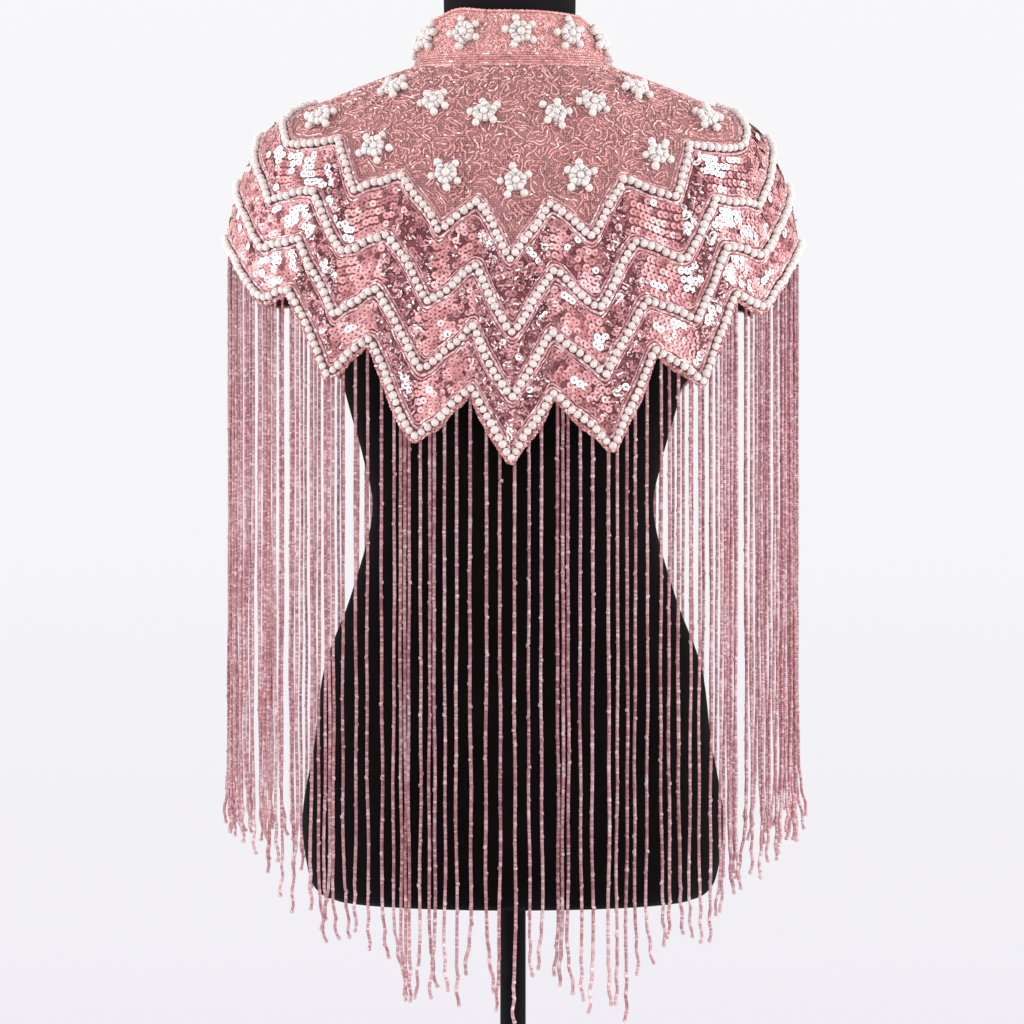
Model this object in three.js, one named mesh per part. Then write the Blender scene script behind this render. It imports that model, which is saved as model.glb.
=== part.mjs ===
// Beaded capelet with a stand collar, four zigzag pearl rows and a long bead fringe,
// resting on a limbless dress form with a pole and a round base.
// Millimetres, +Z up. The origin is at the centre of the base's underside.
// The wearer's back faces -Y, and a turn is an angle from the centre back towards +X.
import * as THREE from 'three';

// ---- driving sizes ----
const CLOTH = 2; // beaded cloth with its lining
const SEAM = 0.3; // between neighbouring pieces
const LIFT = 0.8; // from the cloth to the underside of what is sewn on it
const PEARL_ROW = { width: 5.4, height: 6 };
const HEM_PIPING = { width: 3, height: 3.4, fromPearls: 4.7 };
const HEM_BELOW_PEARLS = 7; // cloth edge, straight down from the pearl row
const MITRE_LIMIT = 1.5; // a rail's widest corner, in widths
const STRAND = 3; // thickness of a bead strand
const HALF_TURN = 180;

// Rings of the cape, from the neck seam to the hem.
const CAPE_RINGS = [
  { halfWidth: 81, back: 60, front: 57, zBack: 1007, zSide: 1010, zFront: 947 },
  { halfWidth: 122.5, back: 83, front: 81, zBack: 982, zSide: 995, zFront: 927 },
  { halfWidth: 155.5, back: 102, front: 101, zBack: 952, zSide: 981, zFront: 902 },
  { halfWidth: 189, back: 116, front: 117, zBack: 919, zSide: 967, zFront: 875 },
  { halfWidth: 206.5, back: 125, front: 129, zBack: 885, zSide: 950, zFront: 847 },
  { halfWidth: 219, back: 133, front: 138, zBack: 842, zSide: 924, zFront: 812 },
  { halfWidth: 227, back: 139, front: 143, zBack: 792, zSide: 898, zFront: 772 },
  { halfWidth: 231.5, back: 144, front: 147, zBack: 742, zSide: 876, zFront: 732 },
  { halfWidth: 234.5, back: 148, front: 148, zBack: 682, zSide: 852, zFront: 682 },
];

// Rings of the stand collar, from its top edge to the neck seam.
const COLLAR_RINGS = [
  { halfWidth: 67, back: 56, front: 54, zBack: 1051, zSide: 1048, zFront: 997 },
  { halfWidth: 75, back: 59, front: 56, zBack: 1030, zSide: 1030, zFront: 972 },
  { halfWidth: 81, back: 60, front: 57, zBack: 1007.4, zSide: 1010.4, zFront: 947.4 },
];

// Corners of the zigzag rows over one quarter, from the centre back to the shoulder line.
// The turn leans from yokeTurn at the yoke's pearl row to hemTurn at the hem's. The next
// columns say how many rings down the cape each row's corner lies, and how long the bead
// strands under it are.
const ZIGZAG = [
  { isPeak: false, yokeTurn: 0, hemTurn: 0, yoke: 4.93, upper: 6.11, lower: 7.16, hem: 7.93, fringe: 428 },
  { isPeak: true, yokeTurn: 7.6, hemTurn: 7.5, yoke: 3.9, upper: 5.11, lower: 6.09, hem: 7.03, fringe: 460 },
  { isPeak: false, yokeTurn: 16.5, hemTurn: 19.6, yoke: 4.63, upper: 5.85, lower: 6.99, hem: 7.98, fringe: 436 },
  { isPeak: true, yokeTurn: 25.6, hemTurn: 28.8, yoke: 3.58, upper: 4.88, lower: 5.91, hem: 6.87, fringe: 470 },
  { isPeak: false, yokeTurn: 36.4, hemTurn: 38.6, yoke: 4.31, upper: 5.6, lower: 6.82, hem: 7.92, fringe: 434 },
  { isPeak: true, yokeTurn: 46.4, hemTurn: 50, yoke: 3.16, upper: 4.64, lower: 5.71, hem: 6.92, fringe: 466 },
  { isPeak: false, yokeTurn: 61.3, hemTurn: 58.6, yoke: 3.87, upper: 5.32, lower: 6.58, hem: 7.8, fringe: 430 },
  { isPeak: true, yokeTurn: 90, hemTurn: 90, yoke: 2.22, upper: 3.8, lower: 5.3, hem: 7.26, fringe: 472 },
];
const ROWS = ['yoke', 'upper', 'lower', 'hem'];
const STEPS_TO_SHOULDER = 3; // facets along each row's last stretch before the shoulder line

// Pearl stars sewn on the yoke: behind they are scattered, in front they mirror each other.
const STAR = { points: 5, reach: 13, waist: 7.5, height: 5 };
const BACK_STARS = [
  { turn: -59.8, ring: 2.65 },
  { turn: -48.4, ring: 1.15 },
  { turn: -35.2, ring: 3.0 },
  { turn: -26.6, ring: 1.49 },
  { turn: -16.2, ring: 3.33 },
  { turn: -9.0, ring: 1.7 },
  { turn: 0.7, ring: 3.41 },
  { turn: 13.0, ring: 1.72 },
  { turn: 15.2, ring: 3.39 },
  { turn: 27.1, ring: 1.53 },
  { turn: 35.7, ring: 3.2 },
  { turn: 49.8, ring: 1.22 },
  { turn: 60.4, ring: 2.68 },
];
const FRONT_STARS = [
  { turn: 120.0, ring: 2.65 },
  { turn: 131.0, ring: 1.2 },
  { turn: 144.5, ring: 3.05 },
  { turn: 153.0, ring: 1.5 },
  { turn: 164.5, ring: 3.3 },
  { turn: 168.5, ring: 1.7 },
];

// Rings of the dress form, from its flat bottom to the top of its neck.
const FORM_SIDES = 32;
const level = (z, halfWidth, back, front) => ({ halfWidth, back, front, zBack: z, zSide: z, zFront: z });
const FORM_RINGS = [
  level(330, 146, 92, 88),
  level(336, 159, 103, 98),
  level(352, 167.5, 111, 105),
  level(398, 172.6, 116, 109),
  level(460, 162.5, 112, 105),
  level(520, 154.5, 104, 99),
  level(577, 133.5, 93, 91),
  level(645, 115.5, 86, 86),
  level(690, 120.5, 87, 90),
  level(735, 132, 92, 100),
  { halfWidth: 143, back: 97, front: 114, zBack: 780, zSide: 780, zFront: 775 },
  { halfWidth: 155, back: 104, front: 123, zBack: 820, zSide: 845, zFront: 812 },
  { halfWidth: 176, back: 110, front: 119, zBack: 865, zSide: 905, zFront: 845 },
  { halfWidth: 187, back: 111, front: 110, zBack: 893, zSide: 934, zFront: 866 },
  { halfWidth: 181, back: 106, front: 100, zBack: 918, zSide: 956, zFront: 884 },
  { halfWidth: 154, back: 96.5, front: 88.5, zBack: 951, zSide: 977, zFront: 911 },
  { halfWidth: 120, back: 78.5, front: 69.5, zBack: 979, zSide: 992.5, zFront: 933 },
  { halfWidth: 74, back: 55, front: 49, zBack: 1001, zSide: 1004, zFront: 946 },
  { halfWidth: 57, back: 51, front: 46, zBack: 1016, zSide: 1018, zFront: 968 },
  { halfWidth: 54, back: 50, front: 46, zBack: 1040, zSide: 1040, zFront: 1010 },
  level(1084, 54, 50, 46),
  level(1090, 49, 45, 41),
];

const BASE = { radius: 160, thickness: 12, bevel: 3, hubRadius: 24, hubHeight: 20, sides: 48 };
const POLE = { radius: 10.5, sides: 24 };

// ---- finishes ----
const finish = (color, roughness, metalness = 0) =>
  new THREE.MeshStandardMaterial({ color, roughness, metalness });
const JERSEY = finish(0x141113, 0.9);
const BLACK_METAL = finish(0x101012, 0.35, 0.6);
const MESH_CLOTH = finish(0xa06468, 0.8);
const SEQUINS = finish(0xcd8287, 0.25, 0.3);
const COLLAR_BEADS = finish(0xcd827d, 0.5);
const PEARLS = finish(0xf0e4e0, 0.3);
const PIPING = finish(0xc98484, 0.5);
const STRANDS = finish(0xc6929b, 0.35);

const group = new THREE.Group();

function add(name, geometry, material) {
  const mesh = new THREE.Mesh(geometry, material);
  mesh.name = name;
  group.add(mesh);
}

// ---- surfaces ----
const radians = (degrees) => (degrees * Math.PI) / HALF_TURN;
const lerp = (a, b, share) => a + (b - a) * share;

// One column of a ring table at a fractional ring, on a Catmull-Rom curve through its values.
function column(rings, name, ring) {
  const last = rings.length - 1;
  const i = Math.min(Math.max(Math.floor(ring), 0), last - 1);
  const f = ring - i;
  const p1 = rings[i][name];
  const p2 = rings[i + 1][name];
  const p0 = i > 0 ? rings[i - 1][name] : 2 * p1 - p2;
  const p3 = i + 2 <= last ? rings[i + 2][name] : 2 * p2 - p1;
  const slope = (p2 - p0) / 2;
  const bend = p0 - 2.5 * p1 + 2 * p2 - p3 / 2;
  const twist = (p3 - p0) / 2 + 1.5 * (p1 - p2);
  return p1 + f * (slope + f * (bend + f * twist));
}

// Point of a ring table's outer surface at a turn and a fractional ring.
function surfacePoint(rings, turn, ring) {
  const side = Math.sin(radians(turn));
  const along = Math.cos(radians(turn));
  const isBack = along >= 0;
  const depth = column(rings, isBack ? 'back' : 'front', ring);
  const zCentre = column(rings, isBack ? 'zBack' : 'zFront', ring);
  return new THREE.Vector3(
    column(rings, 'halfWidth', ring) * side,
    -depth * along,
    lerp(zCentre, column(rings, 'zSide', ring), side * side),
  );
}

// Steps along the surface, per degree of turn and per ring.
function surfaceSteps(rings, turn, ring) {
  const small = 0.01;
  const step = (dTurn, dRing) =>
    surfacePoint(rings, turn + dTurn, ring + dRing)
      .sub(surfacePoint(rings, turn - dTurn, ring - dRing))
      .divideScalar(2 * small);
  return { perTurn: step(small, 0), perRing: step(0, small) };
}

function outward(rings, turn, ring) {
  const { perTurn, perRing } = surfaceSteps(rings, turn, ring);
  return perRing.cross(perTurn).normalize();
}

// Ring reached by going straight down the cape from a ring.
function ringBelow(turn, ring, distance) {
  return ring + distance / surfaceSteps(CAPE_RINGS, turn, ring).perRing.length();
}

// ---- closed solids ----
function solid(points, faces) {
  const geometry = new THREE.BufferGeometry();
  geometry.setAttribute('position', new THREE.Float32BufferAttribute(points.flatMap((p) => p.toArray()), 3));
  geometry.setIndex(faces);
  geometry.computeVertexNormals();
  return geometry;
}

// Wall between two grids of points. Rows run down, and columns run with the turn.
function wallBetween(outer, inner) {
  const rows = outer.length;
  const columns = outer[0].length;
  const onOuter = (i, j) => i * columns + j;
  const onInner = (i, j) => rows * columns + onOuter(i, j);
  const faces = [];
  const quad = (a, b, c, d) => faces.push(a, b, c, a, c, d);
  for (let i = 0; i + 1 < rows; i++) {
    for (let j = 0; j + 1 < columns; j++) {
      quad(onOuter(i, j), onOuter(i + 1, j), onOuter(i + 1, j + 1), onOuter(i, j + 1));
      quad(onInner(i, j), onInner(i, j + 1), onInner(i + 1, j + 1), onInner(i + 1, j));
    }
  }
  const low = rows - 1;
  const end = columns - 1;
  for (let j = 0; j < end; j++) {
    quad(onOuter(0, j), onOuter(0, j + 1), onInner(0, j + 1), onInner(0, j));
    quad(onOuter(low, j), onInner(low, j), onInner(low, j + 1), onOuter(low, j + 1));
  }
  for (let i = 0; i < low; i++) {
    quad(onOuter(i, 0), onInner(i, 0), onInner(i + 1, 0), onOuter(i + 1, 0));
    quad(onOuter(i, end), onOuter(i + 1, end), onInner(i + 1, end), onInner(i, end));
  }
  return solid([...outer.flat(), ...inner.flat()], faces);
}

// Cloth wall whose outer face follows a ring table through rows of { turn, ring } places.
function clothWall(rings, places) {
  const outer = places.map((row) => row.map((at) => surfacePoint(rings, at.turn, at.ring)));
  const inner = places.map((row, i) =>
    row.map((at, j) => outer[i][j].clone().addScaledVector(outward(rings, at.turn, at.ring), -CLOTH)),
  );
  return wallBetween(outer, inner);
}

// Rail laid on a surface along { turn, ring } places, its middle moved sideways by fromPearls.
function rail(rings, places, { width, height, fromPearls = 0 }) {
  const points = places.map((at) => surfacePoint(rings, at.turn, at.ring));
  const frames = places.map((at, k) => {
    const normal = outward(rings, at.turn, at.ring);
    const before = points[Math.max(k - 1, 0)];
    const after = points[Math.min(k + 1, points.length - 1)];
    const sideOf = (from, to) => to.clone().sub(from).cross(normal).normalize();
    const sideIn = k > 0 ? sideOf(before, points[k]) : sideOf(points[k], after);
    const sideOut = k + 1 < points.length ? sideOf(points[k], after) : sideIn;
    const side = sideIn.clone().add(sideOut).normalize();
    const mitre = Math.min(1 / side.dot(sideIn), MITRE_LIMIT);
    return { normal, side: side.multiplyScalar(mitre) };
  });
  const line = (across, up) =>
    frames.map(({ normal, side }, k) =>
      points[k].clone().addScaledVector(side, fromPearls + across).addScaledVector(normal, up),
    );
  // across the rail: its two edges at half height, with its crown between them
  const section = [
    { across: -width / 2, top: LIFT + height / 2 },
    { across: -width / 4, top: LIFT + height },
    { across: width / 4, top: LIFT + height },
    { across: width / 2, top: LIFT + height / 2 },
  ];
  return wallBetween(
    section.map(({ across, top }) => line(across, top)),
    section.map(({ across }) => line(across, LIFT)),
  );
}

// ---- columns of the cape: the zigzag's corners, mirrored past the shoulder line ----
function quarterColumns() {
  const columns = ZIGZAG.slice(0, -1);
  const [from, to] = ZIGZAG.slice(-2);
  for (let k = 1; k <= STEPS_TO_SHOULDER; k++) {
    const between = {};
    for (const name of Object.keys(to)) between[name] = lerp(from[name], to[name], k / STEPS_TO_SHOULDER);
    columns.push({ ...between, isPeak: k === STEPS_TO_SHOULDER });
  }
  return columns;
}

const turned = (corner, change) => ({
  ...corner,
  yokeTurn: change(corner.yokeTurn),
  hemTurn: change(corner.hemTurn),
});
const QUARTER = quarterColumns();
const BACK_LEFT = QUARTER.map((corner) => turned(corner, (turn) => -turn)).reverse();
const SECTIONS = {
  back: [...BACK_LEFT, ...QUARTER.slice(1)],
  front_left: QUARTER.map((corner) => turned(corner, (turn) => turn - HALF_TURN)),
  front_right: QUARTER.map((corner) => turned(corner, (turn) => HALF_TURN - turn)).reverse(),
};
const ALL_ROUND = [...SECTIONS.front_left, ...SECTIONS.back.slice(1), ...SECTIONS.front_right.slice(1)];

// Where a column crosses a pearl row.
function onRow(corner, row) {
  const lean = ROWS.indexOf(row) / (ROWS.length - 1);
  return { turn: lerp(corner.yokeTurn, corner.hemTurn, lean), ring: corner[row] };
}

// Moves the ends of a row of places off the seams at the shoulder line and centre front.
function seamed(rings, places) {
  const last = places.length - 1;
  return places.map((at, k) => {
    if (k > 0 && k < last) return at;
    const gap = SEAM / 2 / surfaceSteps(rings, at.turn, at.ring).perTurn.length();
    return { ...at, turn: at.turn + (k === 0 ? gap : -gap) };
  });
}

// Rows of places that share the way between two rows evenly.
function rowsBetween(upper, lower, steps) {
  const rows = [];
  for (let i = 0; i <= steps; i++) {
    rows.push(
      upper.map((at, j) => ({
        turn: lerp(at.turn, lower[j].turn, i / steps),
        ring: lerp(at.ring, lower[j].ring, i / steps),
      })),
    );
  }
  return rows;
}

// ---- cloth panels ----
const YOKE_STEPS = 5;
const BAND_STEPS = 2;
for (const [section, corners] of Object.entries(SECTIONS)) {
  const pearls = ROWS.map((row) => corners.map((corner) => onRow(corner, row)));
  const neck = corners.map((corner) => ({ turn: corner.yokeTurn, ring: 0 }));
  const yokeEdge = pearls[0].map((at) => ({ ...at, ring: ringBelow(at.turn, at.ring, -SEAM) }));
  const yoke = rowsBetween(neck, yokeEdge, YOKE_STEPS).map((row) => seamed(CAPE_RINGS, row));
  add(`yoke_${section}`, clothWall(CAPE_RINGS, yoke), MESH_CLOTH);

  const hem = pearls.at(-1).map((at) => ({ ...at, ring: ringBelow(at.turn, at.ring, HEM_BELOW_PEARLS) }));
  const field = pearls.slice(1).flatMap((row, k) => rowsBetween(pearls[k], row, BAND_STEPS).slice(0, -1));
  const panel = [...field, pearls.at(-1), hem].map((row) => seamed(CAPE_RINGS, row));
  add(`sequin_panel_${section}`, clothWall(CAPE_RINGS, panel), SEQUINS);
}

// ---- pearl rows and the hem's piping, open at the centre front ----
for (const row of ROWS) {
  const path = seamed(CAPE_RINGS, ALL_ROUND.map((corner) => onRow(corner, row)));
  add(`pearl_row_${row}`, rail(CAPE_RINGS, path, PEARL_ROW), PEARLS);
  if (row === 'hem') add('hem_piping', rail(CAPE_RINGS, path, HEM_PIPING), PIPING);
}

// ---- stand collar with its top cord and the corded band at its seam ----
const COLLAR_FACETS = 36;
const COLLAR_STEPS = 2;
const TOP_CORD = { width: 3, height: 2.4, ring: 0.07 };
const SEAM_BAND = { width: 9, height: 2, ring: 1.76 };
const collarLine = (ring) => {
  const places = [];
  for (let k = 0; k <= COLLAR_FACETS; k++) {
    places.push({ turn: lerp(-HALF_TURN, HALF_TURN, k / COLLAR_FACETS), ring });
  }
  return seamed(COLLAR_RINGS, places);
};
const collarRows = [];
for (let i = 0; i <= COLLAR_STEPS; i++) {
  collarRows.push(collarLine(((COLLAR_RINGS.length - 1) * i) / COLLAR_STEPS));
}
add('collar', clothWall(COLLAR_RINGS, collarRows), COLLAR_BEADS);
add('collar_top_cord', rail(COLLAR_RINGS, collarLine(TOP_CORD.ring), TOP_CORD), PIPING);
add('collar_seam_band', rail(COLLAR_RINGS, collarLine(SEAM_BAND.ring), SEAM_BAND), PIPING);

// ---- pearl stars ----
function star({ turn, ring }) {
  const { perTurn, perRing } = surfaceSteps(CAPE_RINGS, turn, ring);
  const place = (angle, radius, up) => {
    const atTurn = turn + (radius * Math.sin(angle)) / perTurn.length();
    const atRing = ring + (radius * Math.cos(angle)) / perRing.length();
    return surfacePoint(CAPE_RINGS, atTurn, atRing).addScaledVector(outward(CAPE_RINGS, atTurn, atRing), up);
  };
  const corners = 2 * STAR.points;
  const points = [place(0, 0, LIFT), place(0, 0, LIFT + STAR.height)];
  const faces = [];
  for (let k = 0; k < corners; k++) {
    const angle = (k * 2 * Math.PI) / corners;
    const radius = k % 2 === 0 ? STAR.reach : STAR.waist;
    points.push(place(angle, radius, LIFT), place(angle, radius, LIFT + STAR.height));
    const low = 2 + 2 * k;
    const nextLow = 2 + 2 * ((k + 1) % corners);
    faces.push(0, nextLow, low, 1, low + 1, nextLow + 1);
    faces.push(low, nextLow, nextLow + 1, low, nextLow + 1, low + 1);
  }
  return solid(points, faces);
}
BACK_STARS.forEach((at, k) => add(`star_back_${k + 1}`, star(at), PEARLS));
FRONT_STARS.forEach((at, k) => {
  add(`star_front_right_${k + 1}`, star(at), PEARLS);
  add(`star_front_left_${k + 1}`, star({ ...at, turn: -at.turn }), PEARLS);
});

// ---- fringe: one curtain under each tooth of the hem, as deep as its strands are long ----
function fringeCurtain(places) {
  const tops = places.map((at) => {
    const ring = ringBelow(at.turn, at.ring, HEM_BELOW_PEARLS);
    const normal = outward(CAPE_RINGS, at.turn, ring).setZ(0).normalize();
    const point = surfacePoint(CAPE_RINGS, at.turn, ring);
    point.z -= CLOTH;
    return { point, normal, length: at.fringe };
  });
  const line = (inwards, share) =>
    tops.map(({ point, normal, length }) => {
      const moved = point.clone().addScaledVector(normal, -inwards);
      moved.z -= share * length;
      return moved;
    });
  return wallBetween([line(0, 0), line(0, 1)], [line(STRAND, 0), line(STRAND, 1)]);
}

for (const [section, corners] of Object.entries(SECTIONS)) {
  const places = corners.map((corner) => ({ ...onRow(corner, 'hem'), fringe: corner.fringe }));
  const last = corners.length - 1;
  const cuts = corners.flatMap((corner, k) => (corner.isPeak || k === 0 || k === last ? [k] : []));
  for (let k = 0; k + 1 < cuts.length; k++) {
    const curtain = seamed(CAPE_RINGS, places.slice(cuts[k], cuts[k + 1] + 1));
    add(`fringe_${section}_${k + 1}`, fringeCurtain(curtain), STRANDS);
  }
}

// ---- dress form, pole and base ----
function dressForm() {
  const points = [];
  const faces = [];
  FORM_RINGS.forEach((_, ring) => {
    for (let k = 0; k < FORM_SIDES; k++) {
      points.push(surfacePoint(FORM_RINGS, (k * 2 * HALF_TURN) / FORM_SIDES, ring));
    }
  });
  const last = FORM_RINGS.length - 1;
  const at = (ring, k) => ring * FORM_SIDES + (k % FORM_SIDES);
  for (let ring = 0; ring < last; ring++) {
    for (let k = 0; k < FORM_SIDES; k++) {
      faces.push(at(ring, k), at(ring, k + 1), at(ring + 1, k + 1));
      faces.push(at(ring, k), at(ring + 1, k + 1), at(ring + 1, k));
    }
  }
  for (let k = 1; k + 1 < FORM_SIDES; k++) {
    faces.push(at(0, 0), at(0, k + 1), at(0, k));
    faces.push(at(last, 0), at(last, k), at(last, k + 1));
  }
  return solid(points, faces);
}
add('dress_form', dressForm(), JERSEY);

function standing(geometry) {
  return geometry.rotateX(Math.PI / 2);
}
const baseProfile = [
  [0, 0],
  [BASE.radius - BASE.bevel, 0],
  [BASE.radius, BASE.bevel],
  [BASE.radius, BASE.thickness - BASE.bevel],
  [BASE.radius - BASE.bevel, BASE.thickness],
  [BASE.hubRadius, BASE.thickness],
  [BASE.hubRadius - BASE.bevel, BASE.hubHeight],
  [0, BASE.hubHeight],
].map(([radius, height]) => new THREE.Vector2(radius, height));
add('base', standing(new THREE.LatheGeometry(baseProfile, BASE.sides)), BLACK_METAL);

const poleBottom = BASE.hubHeight + SEAM;
const poleTop = FORM_RINGS[0].zBack - SEAM;
const pole = standing(new THREE.CylinderGeometry(POLE.radius, POLE.radius, poleTop - poleBottom, POLE.sides));
pole.translate(0, 0, (poleTop + poleBottom) / 2);
add('pole', pole, BLACK_METAL);

export default group;
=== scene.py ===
"""Looks of the beaded capelet on its dress form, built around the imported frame.

Metres, +Z up. The wearer's back faces -Y. A turn is an angle in degrees from the centre back
towards +X, and a ring counts down a ring table, as in the part's source.
"""

import itertools

import bpy
import numpy as np
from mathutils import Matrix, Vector


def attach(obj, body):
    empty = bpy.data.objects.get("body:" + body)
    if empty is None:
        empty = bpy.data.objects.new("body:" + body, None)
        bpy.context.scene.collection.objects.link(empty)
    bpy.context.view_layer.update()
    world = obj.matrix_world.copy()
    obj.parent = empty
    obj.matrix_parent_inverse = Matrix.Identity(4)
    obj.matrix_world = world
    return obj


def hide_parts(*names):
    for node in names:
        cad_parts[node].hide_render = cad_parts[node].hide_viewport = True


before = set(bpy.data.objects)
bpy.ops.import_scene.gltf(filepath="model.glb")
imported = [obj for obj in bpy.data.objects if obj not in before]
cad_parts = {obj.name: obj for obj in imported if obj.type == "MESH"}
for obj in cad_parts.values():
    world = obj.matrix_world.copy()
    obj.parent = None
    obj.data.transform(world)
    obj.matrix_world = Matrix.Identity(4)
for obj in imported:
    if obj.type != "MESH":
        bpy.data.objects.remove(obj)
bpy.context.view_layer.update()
MM = 0.001

# Ring tables, in millimetres: half width, depth behind and in front, and the height of the
# ring at the centre back, the shoulder line and the centre front.
CAPE = MM * np.array([
    [81, 60, 57, 1007, 1010, 947],
    [122.5, 83, 81, 982, 995, 927],
    [155.5, 102, 101, 952, 981, 902],
    [189, 116, 117, 919, 967, 875],
    [206.5, 125, 129, 885, 950, 847],
    [219, 133, 138, 842, 924, 812],
    [227, 139, 143, 792, 898, 772],
    [231.5, 144, 147, 742, 876, 732],
    [234.5, 148, 148, 682, 852, 682],
])
COLLAR = MM * np.array([
    [67, 56, 54, 1051, 1048, 997],
    [75, 59, 56, 1030, 1030, 972],
    [81, 60, 57, 1007.4, 1010.4, 947.4],
])
FORM = MM * np.array([
    [146, 92, 88, 330, 330, 330],
    [159, 103, 98, 336, 336, 336],
    [167.5, 111, 105, 352, 352, 352],
    [172.6, 116, 109, 398, 398, 398],
    [162.5, 112, 105, 460, 460, 460],
    [154.5, 104, 99, 520, 520, 520],
    [133.5, 93, 91, 577, 577, 577],
    [115.5, 86, 86, 645, 645, 645],
    [122.5, 87, 90, 690, 690, 690],
    [135, 92, 100, 735, 735, 735],
    [145.5, 97, 114, 780, 780, 775],
    [155, 104, 123, 820, 845, 812],
    [176, 110, 119, 865, 905, 845],
    [187, 111, 110, 893, 934, 866],
    [181, 106, 100, 918, 956, 884],
    [154, 96.5, 88.5, 951, 977, 911],
    [120, 78.5, 69.5, 979, 992.5, 933],
    [74, 55, 49, 1001, 1004, 946],
    [57, 51, 46, 1016, 1018, 968],
    [54, 50, 46, 1040, 1040, 1010],
    [54, 50, 46, 1084, 1084, 1084],
    [49, 45, 41, 1090, 1090, 1090],
])

# Corners of the zigzag over one quarter, lows and peaks by turns: turn at the yoke's pearl row
# and at the hem's, the ring of each pearl row's corner, and the strands' length under it in mm.
ZIGZAG = np.array([
    [0, 0, 4.93, 6.11, 7.16, 7.93, 428],
    [7.6, 7.5, 3.9, 5.11, 6.09, 7.03, 460],
    [16.5, 19.6, 4.63, 5.85, 6.99, 7.98, 436],
    [25.6, 28.8, 3.58, 4.88, 5.91, 6.87, 470],
    [36.4, 38.6, 4.31, 5.6, 6.82, 7.92, 440],
    [46.4, 50, 3.16, 4.64, 5.71, 6.92, 476],
    [61.3, 58.6, 3.87, 5.32, 6.58, 7.8, 441],
    [90, 90, 2.22, 3.8, 5.3, 7.26, 484],
])
ROWS = ("yoke", "upper", "lower", "hem")
YOKE_ROW, HEM_ROW = 0, len(ROWS) - 1
FIRST_ROW_COLUMN = 2
QUARTER_CORNERS = len(ZIGZAG) - 1
LEAN = 0.07  # rings by which the zigzag hangs lower on the right than on the left, each side
FRONT_LIFT = 0.25  # rings by which the hem is higher in front than behind

# Pearl stars: turn and ring on the yoke, and turn on the collar.
BACK_STARS = [
    (-59.8, 2.65), (-48.4, 1.15), (-35.2, 3.0), (-26.6, 1.49), (-16.2, 3.33), (-9.0, 1.7),
    (0.7, 3.41), (13.0, 1.72), (15.2, 3.39), (27.1, 1.53), (35.7, 3.2), (49.8, 1.22), (60.4, 2.68),
]
FRONT_STARS = [(120, 2.65), (131, 1.2), (144.5, 3.05), (153, 1.5), (164.5, 3.3), (168.5, 1.7)]
COLLAR_STAR_TURNS = [-158, -126, -96, -67, -31, 4.5, 38, 72, 101, 130, 160]
COLLAR_STAR_RING = 0.88

FRONT_GAP = 1.3  # degrees from the centre front at which rows of beads end
STRETCH = 72  # points of a fine line along each edge of the zigzag
FINE_POINTS = 2000  # points of a fine line in all, or more
rng = np.random.default_rng(41)


# ---- surfaces ----
def rise(values, start, over):
    """0 up to a start, 1 from a distance beyond it on, and even between."""
    return np.clip((values - start) / over, 0, 1)


def matched(turn, ring):
    """Turns and rings as arrays of one shape."""
    return np.broadcast_arrays(np.asarray(turn, float), np.asarray(ring, float))


def ring_values(table, ring):
    """The six columns at fractional rings, on Catmull-Rom curves."""
    last = len(table) - 1
    i = np.clip(np.floor(ring).astype(int), 0, last - 1)
    f = (ring - i)[..., None]
    padded = np.vstack([2 * table[0] - table[1], table, 2 * table[-1] - table[-2]])
    p0, p1, p2, p3 = (padded[i + k] for k in range(4))
    slope = (p2 - p0) / 2
    bend = p0 - 2.5 * p1 + 2 * p2 - p3 / 2
    twist = (p3 - p0) / 2 + 1.5 * (p1 - p2)
    return p1 + f * (slope + f * (bend + f * twist))


def bare(table, turn, ring):
    """Points of a ring table's surface."""
    turn, ring = matched(turn, ring)
    v = ring_values(table, ring)
    side, along = np.sin(np.radians(turn)), np.cos(np.radians(turn))
    is_back = along >= 0
    depth = np.where(is_back, v[..., 1], v[..., 2])
    z_centre = np.where(is_back, v[..., 3], v[..., 5])
    z = z_centre + (v[..., 4] - z_centre) * side**2
    return np.stack([v[..., 0] * side, -depth * along, z], -1)


def unit(vectors):
    return vectors / np.linalg.norm(vectors, axis=-1, keepdims=True)


def steps(place, turn, ring):
    """Movement per degree of turn and per ring, and the outward normal."""
    small = 0.02
    per_turn = (place(turn + small, ring) - place(turn - small, ring)) / (2 * small)
    per_ring = (place(turn, ring + small) - place(turn, ring - small)) / (2 * small)
    return per_turn, per_ring, unit(np.cross(per_ring, per_turn))


# Soft folds of the cape: turn, lean in degrees a ring, first and last ring, width in degrees
# and height in mm.
FOLDS = [
    (9.5, 0.8, 1.2, 4.9, 1.7, 1.7),
    (5.2, 0.2, 1.6, 4.6, 2.0, -0.4),
    (-22, -1.0, 1.0, 4.2, 2.6, 0.9),
    (-43, -1.2, 2.6, 6.4, 3.0, 1.2),
    (40, 1.4, 2.2, 6.0, 3.0, 1.0),
    (66, 0.6, 0.6, 5.6, 4.0, 1.5),
    (-69, -0.6, 0.6, 5.6, 4.0, 1.6),
    (112, -0.5, 0.8, 5.4, 3.5, 1.3),
    (-109, 0.5, 0.8, 5.0, 3.5, 1.4),
    (149, 1.0, 1.4, 5.0, 2.6, 1.1),
    (-155, 1.0, 1.2, 4.6, 2.4, 1.2),
]
FOLD_END = 0.8  # rings over which a fold rises from the flat cloth and falls back to it
RIPPLE = 0.35 * MM  # height of the cloth's unevenness between the folds
BOW, SWAY = 0.5, 0.22  # degrees by which rows bow between their corners, and stray
SAG, WAVER = 0.03, 0.02  # rings by which rows stray down, in long and short waves
LEFT_RISE, RIGHT_DIP, RIGHT_IN = 4.2 * MM, 4.8 * MM, 3.4 * MM  # of the collar's top edge


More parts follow.
